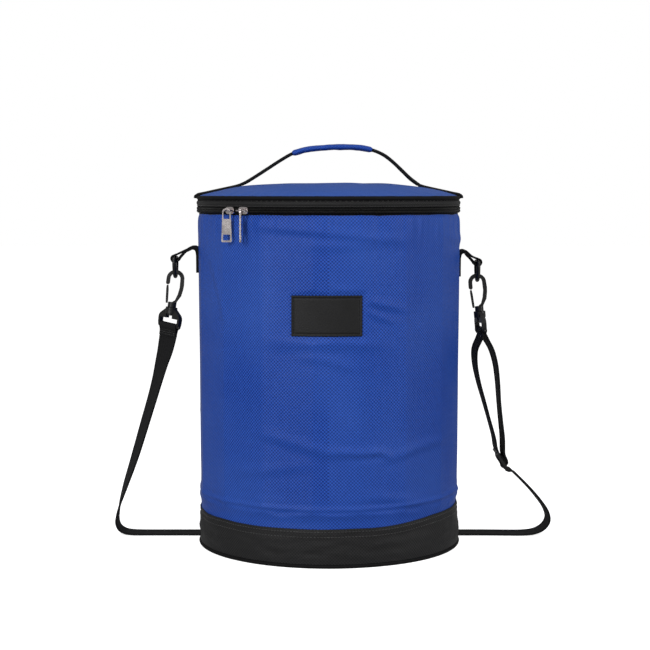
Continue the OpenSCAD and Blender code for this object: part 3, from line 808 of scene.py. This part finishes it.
def linerPlace(t, a, s=linerSettings):
    angle, bend, floorR = a * turn, s["fillet"], s["radius"] - s["fillet"]
    if t < s["wallEnd"]:
        z = s["top"] + (s["floor"] + bend - s["top"]) * (t / s["wallEnd"])
        p = polar(angle, s["radius"], z)
        return p - polar(angle, max(linerCrinkle(p), -0.2 * mm) * (1 - smooth(z, 0.335, 0.345)), 0)
    if t < s["filletEnd"]:
        turned = (t - s["wallEnd"]) / (s["filletEnd"] - s["wallEnd"]) * math.pi / 2
        return polar(angle, floorR + bend * math.cos(turned), s["floor"] + bend * (1 - math.sin(turned)))
    p = polar(angle, floorR * max((1 - t) / (1 - s["filletEnd"]), 0.01), s["floor"])
    return p + Vector((0, 0, max(linerCrinkle(p), -0.1 * mm)))


innerLiner = gridPiece("innerLiner", 130, 200, linerPlace, lambda t, a: (a * turn * 0.129, t * 0.55),
                       closed=True)
madePiece(innerLiner, film, ("liner_wall", "liner_floor"), "root")


# Binding folded over the rim of the body
def sweptRing(name, profile, around, start=-math.pi, span=turn, ripple=0.0, rippleCount=0):
    # profile points are (radius, height) in millimetres, drawn once round; an open span gets flat ends
    whole = abs(span - turn) < 1e-6
    cols = around if whole else around + 1
    n = len(profile)
    middleR, middleZ = sum(p[0] for p in profile) / n, sum(p[1] for p in profile) / n
    points = []
    for j in range(cols):
        angle = start + span * j / around
        swell = ripple * math.sin(angle * rippleCount) + ripple * roundNoise(angle, 14, 2)
        for r, z in profile:
            points.append(polar(angle, (r + (r - middleR) * swell) * mm, (z + (z - middleZ) * swell) * mm))
    faces, uvs = [], []
    clothRun, clothWide = span * 0.138 / around, 0.02 / n
    for j in range(around):
        a, b = j * n, ((j + 1) % cols) * n
        for k in range(n):
            m = (k + 1) % n
            faces.append((a + k, b + k, b + m, a + m))
            u0, u1, v0, v1 = j * clothRun, (j + 1) * clothRun, k * clothWide, (k + 1) * clothWide
            uvs.append([(u0, v0), (u1, v0), (u1, v1), (u0, v1)])
    if not whole:
        faces.append(list(range(n)))
        faces.append([around * n + k for k in range(n - 1, -1, -1)])
        uvs += [[(0, 0)] * n, [(0, 0)] * n]
    return meshPiece(name, points, faces, uvs)


def rounded(points, radius, steps=3):
    # rounds the corners of a profile
    out = []
    n = len(points)
    for i, (x, y) in enumerate(points):
        (ax, ay), (bx, by) = points[i - 1], points[(i + 1) % n]
        la, lb = math.hypot(ax - x, ay - y), math.hypot(bx - x, by - y)
        cut = min(radius, la * 0.48, lb * 0.48)
        sx, sy = x + (ax - x) / la * cut, y + (ay - y) / la * cut
        ex, ey = x + (bx - x) / lb * cut, y + (by - y) / lb * cut
        for k in range(steps + 1):
            t = k / steps
            out.append(((1 - t) ** 2 * sx + 2 * t * (1 - t) * x + t * t * ex,
                        (1 - t) ** 2 * sy + 2 * t * (1 - t) * y + t * t * ey))
    return out


rimProfile = rounded([(128.4, 336), (129.05, 336), (129.05, 349.9), (135.5, 350.1), (135.5, 350.85),
                      (128.8, 350.9), (128.35, 350.3)], 0.4)
madePiece(sweptRing("rimBinding", rimProfile, 240), blackPolyester, ("rim_binding",), "root")
stitchRun("rimStitch", 230, ringStitch(lambda a: 0.1283, lambda a: 0.3385), 2.4 * mm, 0.25 * mm)
print("liner made")


# Zip: two woven tapes, two coils with their teeth, and the hinge strip that closes the ring
lowerTape = rounded([(136.4, 351.0), (137.3, 351.0), (137.25, 355.7), (136.4, 355.7)], 0.35)
upperTape = rounded([(136.4, 357.6), (137.25, 357.6), (137.3, 365.3), (136.4, 365.3)], 0.35)
for name, profile, node, body in (("lowerZipTape", lowerTape, "lower_zip_tape", "root"),
                                  ("upperZipTape", upperTape, "upper_zip_tape", "lid")):
    tape = sweptRing(name, profile, 300, start=-zipEnd, span=2 * zipEnd)
    madePiece(tape, zipTapeCloth, (node,), body)

toothSettings = {"pitch": 1.5 * mm, "wire": 0.52 * mm, "sides": 6, "radius": 138.5 * mm}


def coilTeeth(name, side, offset, s):
    # each tooth is one turn of the coil: from the tape over the front to the head and back under
    verts, faces = [], []
    count, sides = int(2 * zipEnd * s["radius"] / s["pitch"]), s["sides"]
    # (radius, height, share of the pitch), the first two in millimetres
    shape = [(137.6, 2.4, 0.0), (138.7, 2.85, 0.02), (139.45, 2.1, 0.06), (139.55, 1.1, 0.12), (139.2, 0.15, 0.2),
             (138.4, -0.05, 0.3), (137.8, 0.5, 0.42), (137.6, 1.3, 0.5)]
    for i in range(count):
        base = -zipEnd + (i + offset) * 2 * zipEnd / count
        path = [polar(base + along * s["pitch"] / s["radius"], r * mm, zipZ + side * z * mm)
                for r, z, along in shape]
        first = len(verts)
        for n, p in enumerate(path):
            tangent = (path[min(n + 1, len(path) - 1)] - path[max(n - 1, 0)]).normalized()
            across = polar(base + math.pi / 2, 1, 0)
            up = tangent.cross(across).normalized()
            fat = s["wire"] * (1.25 if n in (3, 4) else 1)
            for k in range(sides):
                a = turn * k / sides
                verts.append(p + across * (math.cos(a) * fat) + up * (math.sin(a) * s["wire"]))
        closeTube(faces, first, len(path), sides)
    return meshPiece(name, verts, faces)


lowerCoil = coilTeeth("lowerZipCoil", -1, 0.25, toothSettings)
upperCoil = coilTeeth("upperZipCoil", 1, 0.75, toothSettings)
madePiece(lowerCoil, coilNylon, ("lower_zip_coil",), "root")
madePiece(upperCoil, coilNylon, ("upper_zip_coil",), "lid")


def zipStitchPlace(t):
    angle = -zipEnd + 2 * zipEnd * t
    return polar(angle, 0.1374, 0.3522), polar(angle, 1, 0)


stitchRun("lowerZipStitch", 300, zipStitchPlace, 2.0 * mm, 0.22 * mm)

hingeSection = rounded([(139.85, 349), (140.7, 349), (140.8, 356.6), (140.7, 366.2), (139.85, 366.2),
                        (139.95, 356.6)], 0.35)


def hingePlace(t, k):
    angle = math.pi + (t - 0.5) * 2 * math.radians(17.8)
    r, z = hingeSection[round(k * len(hingeSection)) % len(hingeSection)]
    return polar(angle, r * mm, z * mm)


backHinge = gridPiece("backHinge", 48, len(hingeSection), hingePlace, lambda t, k: (t * 0.087, k * 0.036),
                      closed=True, capEnds=True)
finer = backHinge.modifiers.new("finer", "SUBSURF")
finer.subdivision_type = "SIMPLE"
finer.levels = 1
apply(backHinge)
madePiece(backHinge, blackPolyester, ("back_hinge_panel",), None,
          ("root", "lid", (0, 0.14, 0.3535), (0, 0.14, 0.3597)))
print("zip made")


# Blank leatherette patch, heat pressed with a raised edge
def makePatch(s):
    halfWide, halfTall = s["width"] / 2, s["height"] / 2
    cornerU, cornerV = halfWide - s["corner"], halfTall - s["corner"]

    def place(t, k):
        u, v = (k - 0.5) * s["width"], (t - 0.5) * s["height"]
        inset = min(halfWide - abs(u), halfTall - abs(v))
        if abs(u) > cornerU and abs(v) > cornerV:
            reach = math.hypot(abs(u) - cornerU, abs(v) - cornerV)
            if reach > s["corner"]:
                pull = s["corner"] / reach
                u = math.copysign(cornerU + (abs(u) - cornerU) * pull, u)
                v = math.copysign(cornerV + (abs(v) - cornerV) * pull, v)
                inset = 0
        # up the outer edge, down into the groove inside it, then up to the flat middle
        rise = 1.9 * smooth(inset, -0.2 * mm, 1.0 * mm) - 1.3 * smooth(inset, 1.7 * mm, 2.5 * mm)
        rise += 0.75 * smooth(inset, 2.8 * mm, 3.8 * mm)
        return polar((s["x"] + u) / bagRadius, 0.1372 + rise * mm, s["z"] + v)

    return gridPiece("frontPatch", 60, 96, place, lambda t, k: (k * s["width"], t * s["height"]))


madePiece(makePatch(patchSettings), leatherette, ("front_patch",), "root")


# Lid: domed cloth panel over foam, gathered a little where it meets the piping
lidSettings = {"radius": 137.2 * mm, "seam": 370 * mm, "rise": 13.4 * mm, "roundness": 3.5}


def domePlace(t, a, s=lidSettings):
    angle, r = a * turn, s["radius"] * max(t, 0.004)
    x, y = math.sin(angle), math.cos(angle)
    dome = s["seam"] + s["rise"] * (1 - (min(r, bagRadius) / bagRadius) ** s["roundness"])
    edge = smooth(t, 0.80, 0.965) * (1 - smooth(t, 0.975, 1.0))
    pucker = roundNoise(angle, 17, t * 5) * 0.8 + roundNoise(angle, 42, t * 9) * 0.4
    broad = noise.noise((x * t * 3.5, y * t * 3.5, 4)) * 0.9 * (1 - smooth(t, 0.9, 1))
    # pressed down where the handle's ends are sewn on
    pressed = 0.7 * math.exp(-((abs(y) * r) / 0.0135) ** 4) * smooth(t, 0.66, 0.75)
    return polar(angle, r, dome + (edge * pucker * 0.9 + broad - pressed) * mm)


lidPanel = gridPiece("lidPanel", 72, 240, domePlace, discUv(bagRadius), closed=True)
madePiece(thicken(lidPanel, 0.9 * mm), lidPolyester, ("lid_panel",), "lid")


def lidLinerPlace(t, a):
    p = polar(a * turn, 0.1328 * max(t, 0.004), 0.36075)
    quilt = linerCrinkle(p) * (1 - smooth(t, 0.93, 1))
    return p - Vector((0, 0, 0.35 * mm + abs(quilt)))


lidLiner = mirrorFaces(gridPiece("lidLiner", 64, 180, lidLinerPlace, discUv(0.133, 1), closed=True))
madePiece(thicken(lidLiner, 0.5 * mm), film, ("lid_liner",), "lid")
lidBinding = sweptRing("lidBinding", rounded([(133.2, 361.0), (136.1, 361.2), (136.1, 364.5), (133.2, 364.5),
                                              (132.6, 361.6)], 0.5), 240)
madePiece(lidBinding, blackPolyester, ("lid_binding",), "lid")


lidPipingSettings = {"radius": 138.0 * mm, "z": 369.0 * mm, "thick": 2.2 * mm, "squeeze": 0.95}


def makeLidPiping(s):
    radius, thick = s["radius"], s["thick"]

    def place(t, k):
        angle, a = t * turn, k * turn
        crimp = 1 + 0.03 * math.sin(angle * 300) + 0.05 * roundNoise(angle, 16, s["z"] * 50)
        rise = math.sin(a) * thick * s["squeeze"] * crimp
        return polar(angle, radius + math.cos(a) * thick * crimp, s["z"] + rise)

    return gridPiece("lidPiping", 540, 14, place, lambda t, k: (t * radius * turn, k * thick * turn), closed=True)


madePiece(makeLidPiping(lidPipingSettings), bindingCloth, ("lid_piping",), "lid")
lidPipingFoot = rounded([(136.2, 366.3), (138.9, 366.3), (139.0, 367.3), (138.2, 368.4), (136.4, 370.2)], 0.4)
madePiece(sweptRing("lidPipingFoot", lidPipingFoot, 240), bindingCloth, (), "lid")
gussetProfile = rounded([
    (137.4, 359.9), (139.1, 359.9), (139.75, 360.5), (139.3, 361.1), (139.2, 361.5), (139.9, 362.4),
    (140.15, 363.7), (139.9, 364.9), (139.1, 365.7), (138.9, 366.25), (137.4, 366.3)], 0.5, 2)
lidGusset = sweptRing("lidGusset", gussetProfile, 300, ripple=0.05, rippleCount=140)
madePiece(lidGusset, blackPolyester, ("lid_gusset",), "lid")
stitchRun("gussetStitch", 300, ringStitch(lambda a: 0.13935, lambda a: 0.36125), 2.1 * mm, 0.26 * mm,
          "lid")
print("lid made")


# Carry handle: webbing sewn down on the lid, then an arch with a padded sleeve
def flatRows(places):
    # rows whose width lies along y, from (x, z) in millimetres
    return [[x, 0, z, 0, 1, 0] for x, z in places]


handleSettings = {"width": 25 * mm, "thick": 1.9 * mm}
endRise = [(141.2, 368.4), (140.9, 370.6), (138.2, 372.4), (131, 373.9), (122, 375.9), (110, 378.5)]
handleLeftEnd = flatRows([(-x, z) for x, z in endRise] + [(-99, 380.9), (-93.2, 382.6)])
handleRightEnd = [[x, 0, z, 0, -1, 0] for x, z in endRise + [(101, 380.6), (96.2, 382.2)]]
handleRoute = flatRows([(-93, 382.8), (-88, 385), (-78, 391), (-64, 400), (-50, 409), (-38, 415.6), (-24, 419.6),
                        (-5, 421.8), (15, 422.4), (32, 421.8), (46, 419.4), (58, 414.4)])
handleRoute += [[68, 0, 407, 0.12, 1, -0.1], [78, 0, 397.6, 0.2, 1, -0.2], [87, 0, 389, 0.1, 1, -0.1],
                [96, 0, 382.4, 0, 1, 0]]


def handlePiece(name, rows, node, body, between=None):
    piece = webbing(name, inMetres(rows), handleSettings["width"], handleSettings["thick"])
    return madePiece(piece, webbingCloth, (node,), body, between)


handlePiece("handleEndLeft", handleLeftEnd, "handle_ends", "lid")
handlePiece("handleEndRight", handleRightEnd, "handle_ends", "lid")
handlePiece("handleWebbingLeft", handleRoute[:8], "handle_webbing", None,
            ("lid", "handle", (-0.093, 0, 0.3828), (-0.074, 0, 0.393)))
handlePiece("handleWebbingRight", handleRoute[7:], "handle_webbing", None,
            ("lid", "handle", (0.096, 0, 0.3824), (0.077, 0, 0.398)))


sleeveSettings = {"wide": 14.0 * mm, "tall": 3.0 * mm, "sides": 44, "hem": 2.4 * mm, "round": 66 * mm}


def makeSleeve(s):
    frames = ribbonFrames(inMetres(handleRoute[5:11]), 1.6 * mm)
    total = frames[-1][3]

    def frameAt(share):
        return frames[round(share * (len(frames) - 1))]

    def place(share, t):
        p, across, up, run = frameAt(share)
        c, d = math.cos(t * turn), math.sin(t * turn)
        end = smooth(run, 0, s["hem"]) * smooth(total - run, 0, s["hem"])
        gather = noise.noise((run * 160, d * 1.6, c * 1.6)) * 0.3 * mm
        gather += noise.noise((run * 60, d * 2.5 + 5, c * 2.5)) * 0.4 * mm
        x = math.copysign(abs(c) ** 0.62, c) * (s["wide"] + gather * 0.3)
        y = math.copysign(abs(d) ** 0.75, d) * (s["tall"] * (0.72 + 0.28 * end) + gather)
        return p + across * x + up * y

    return gridPiece("handleSleeve", len(frames) - 1, s["sides"], place,
                     lambda share, t: (frameAt(share)[3], t * s["round"]), closed=True, capEnds=True)


handleSleeve = mirrorFaces(makeSleeve(sleeveSettings))
madePiece(handleSleeve, bluePolyester, ("handle_sleeve",), "handle")


def routeStitch(name, rows, inset, lift, count, body):
    # stitches along a row's length, between 6% and 94% of it
    frames = ribbonFrames(inMetres(rows), 1.0 * mm)
    total = frames[-1][3]

    def at(t):
        want = total * (0.06 + 0.88 * t)
        p, across, up, run = min(frames, key=lambda f: abs(f[3] - want))
        return p + across * inset + up * lift, up
    made = []
    for i in range(count):
        p, up = at((i + 0.5) / count)
        q = at(min((i + 1.2) / count, 1))[0]
        if (q - p).length > 1e-5:
            made.append((p, (q - p).normalized(), up))
    return madePiece(stitches(name, made, 2.3 * mm, 0.28 * mm), threadBlack, (), body)


for label, rows in (("Left", handleLeftEnd), ("Right", handleRightEnd)):
    for side in (-1, 1):
        for face in (-1, 1):
            routeStitch(f"handleEndStitch{label}{side}{face}", rows, side * 9.4 * mm, face * 1.0 * mm, 13, "lid")
print("handle made")


# Side tabs: webbing folded round each ring's bar and sewn to the wall
tabSettings = {"width": 25 * mm, "thick": 1.4 * mm, "wallRadius": 137.2}


def tabRows(reach):
    # two plies: down the wall, over the top of the arch, round the bar and back the same way
    path = [(-reach + 0.8, -15), (-reach + 0.8, -4), (-reach + 0.9, 6), (-reach + 3, 11.3), (-reach + 8, 12.2),
            (-14, 10), (-7, 6.6), (-1.5, 4), (2.2, 2.6), (3.35, 0), (2.2, -2.6), (0, -3.35), (-2.6, -2.6),
            (-4.5, 0), (-7.5, 3.6), (-11, 7), (-15, 8.7), (-reach + 8, 10.6), (-reach + 4, 9.4),
            (-reach + 2.5, 5), (-reach + 2.3, -4), (-reach + 2.3, -15)]
    if reach < 24:
        path = [p for p in path if p not in ((-14, 10), (-15, 8.7))]
    return flatRows(path)


def placedRows(rows, matrix):
    turned = matrix.to_3x3()
    return [[*(matrix @ Vector(r[:3])), *(turned @ Vector(r[3:6]))] for r in rows]


def makeTab(side, bar, s):
    name, reach = "tab" + side.title(), bar["x"] - s["wallRadius"]
    matrix = (Matrix.Translation((bar["sign"] * bar["x"], 0, bar["z"]))
              @ Matrix.Rotation(0 if bar["sign"] > 0 else math.pi, 4, "Z"))
    turned = matrix.to_3x3()
    rows = placedRows(tabRows(reach), matrix)
    piece = webbing(name, inMetres(rows), s["width"], s["thick"], step=1.0 * mm)
    madePiece(piece, webbingCloth, ("tab_" + side,), "root")
    made = []
    for z in (-12.5, -9.5, 1.5):
        for k in range(9):
            p = matrix @ Vector((-reach + 3.1, (k - 4) * 2.6, z))
            made.append((p * mm, (turned @ Vector((0, 1, 0))).normalized(), turned @ Vector((1, 0, 0))))
    madePiece(stitches(name + "Stitch", made, 2.0 * mm, 0.3 * mm), threadBlack, (), "root")


# each ring's bar, how its clip leans and is turned in degrees, and its strap end's length in millimetres
ringBars = {
    "left": {"x": 163.5, "z": 304.5, "sign": -1, "lean": 8, "turned": -40, "length": 11},
    "right": {"x": 159.0, "z": 300.5, "sign": 1, "lean": -5, "turned": -80, "length": 7}}
for side, bar in ringBars.items():
    makeTab(side, bar, tabSettings)


def clipFrame(bar):
    return (Matrix.Translation((bar["sign"] * bar["x"], 0, bar["z"] - 21.9))
            @ Matrix.Rotation(math.radians(bar["lean"]), 4, "Y")
            @ Matrix.Rotation(math.radians(bar["turned"]), 4, "Z"))


def makeStrapEnd(side, bar):
    # down one face, round the clip's bar and back: (y, z) in the clip's own frame
    length, name = bar["length"], side.title()
    around = [(-0.82, -51 - length), (-0.82, -51 - length * 0.6), (-1.6, -54.2), (-2.7, -51.8), (-2.45, -49.3),
              (-1.2, -48.35), (0, -48.1), (1.2, -48.35), (2.45, -49.3), (2.7, -51.8), (1.6, -54.2),
              (0.82, -51 - length * 0.6), (0.82, -51 - length + 0.5)]
    matrix = clipFrame(bar)
    rows = placedRows([[0, y, z, 1, 0, 0] for y, z in around], matrix)
    piece = webbing("strapEnd" + name, inMetres(rows), 24.6 * mm, 1.4 * mm, step=0.8 * mm)
    madePiece(piece, webbingCloth, ("strap_end_" + side,), "clip_" + side)
    made = []
    turned = matrix.to_3x3()
    for face in (-1, 1):
        for row in range(3):
            for k in range(9):
                p = matrix @ Vector(((k - 4) * 2.5, face * 1.65, -51 - length * 0.42 - row * length * 0.2))
                made.append((p * mm, turned @ Vector((1, 0, 0)), turned @ Vector((0, face, 0))))
    stitching = stitches("strapEndStitch" + name, made, 2.0 * mm, 0.28 * mm)
    madePiece(stitching, threadBlack, (), "clip_" + side)


for side, bar in ringBars.items():
    makeStrapEnd(side, bar)


def makeAdjusterWrap():
    # one turn of the sewn end round the adjuster's middle bar, both ends rising to the doubled strap
    around = [(6.5, 0.9), (3.4, 2.2), (0, 2.45), (-2.9, 1.9), (-3.4, 0), (-2.9, -1.9), (0, -2.45), (3.4, -2.2),
              (6.5, -0.9)]
    rows = [[0, y, z, 1, 0, 0] for y, z in around]
    matrix = (Matrix.Translation((187, 9, 86)) @ Matrix.Rotation(math.radians(-34), 4, "Y")
              @ Matrix.Rotation(math.pi / 2, 4, "X") @ Matrix.Rotation(math.pi / 2, 4, "Y"))
    piece = webbing("adjusterWrap", inMetres(placedRows(rows, matrix)), 24.5 * mm, 1.3 * mm, step=0.8 * mm)
    return madePiece(piece, webbingCloth, ("adjuster_wrap",), "adjuster")


makeAdjusterWrap()
print("tabs and strap ends made")


# Solid parts that keep their own shape take their material here
solidMaterials = (
    (foamWhite, ("wall_foam", "base_foam", "lid_foam")),
    (boardGrey, ("base_board",)),
    (nickel, ("zip_end_stops", "slider_left", "slider_right", "puller_left", "puller_right")),
    (acetal, ("ring_left", "ring_right", "clip_base_left", "clip_base_right", "hook_left", "hook_right",
              "gate_left", "gate_right", "adjuster")))
for material, names in solidMaterials:
    for node in names:
        solid = frame["nodes"][node]
        if not solid.material_slots:
            solid.data.materials.append(material)
        for place in solid.material_slots:
            place.material = material
print("materials placed")


# Floor, world and lights
studioSettings = {
    "sky": 0.34, "floorGlow": 0.68,
    # name, place, power in watts, width and height in metres
    "lights": [("keyLeft", (-1.05, -1.45, 0.75), 20, 0.40, 1.3), ("keyRight", (1.62, -0.66, 0.7), 14, 0.35, 1.3),
               ("front", (0.1, -2.3, 1.2), 14, 1.0, 0.8), ("top", (0, -0.1, 2.2), 9, 1.8, 1.8)]}


def makeStudio(s):
    floorMaterial, tree, surface = newMaterial("floor, painted", {
        "Base Color": (1, 1, 1, 1), "Roughness": 0.8, "Specular IOR Level": 0.0,
        "Emission Color": (1, 1, 1, 1), "Emission Strength": s["floorGlow"]})
    floor = meshPiece("floor", [(-9, -9, 0), (9, -9, 0), (9, 9, 0), (-9, 9, 0)], [(0, 1, 2, 3)])
    floor.data.materials.append(floorMaterial)
    floor.visible_diffuse = floor.visible_glossy = False
    world = bpy.data.worlds.new("studio")
    world.use_nodes = True
    tree = world.node_tree
    back = tree.nodes["Background"]
    seen = addNode(tree, "ShaderNodeLightPath").outputs["Is Camera Ray"]
    strength = addNode(tree, "ShaderNodeMapRange", {3: s["sky"], 4: 1.0}, {0: seen})
    back.inputs["Color"].default_value = (1, 1, 1, 1)
    tree.links.new(strength.outputs[0], back.inputs["Strength"])
    bpy.context.scene.world = world
    for name, place, power, wide, tall in s["lights"]:
        data = bpy.data.lights.new(name, "AREA")
        data.energy = power
        data.shape = "RECTANGLE"
        data.size, data.size_y = wide, tall
        light = bpy.data.objects.new(name, data)
        light.location = place
        light.rotation_euler = (Vector((0, 0, 0.2)) - Vector(place)).to_track_quat("-Z", "Y").to_euler()
        bpy.context.collection.objects.link(light)


makeStudio(studioSettings)
bpy.context.scene.view_settings.view_transform = "Standard"

print("scene done")
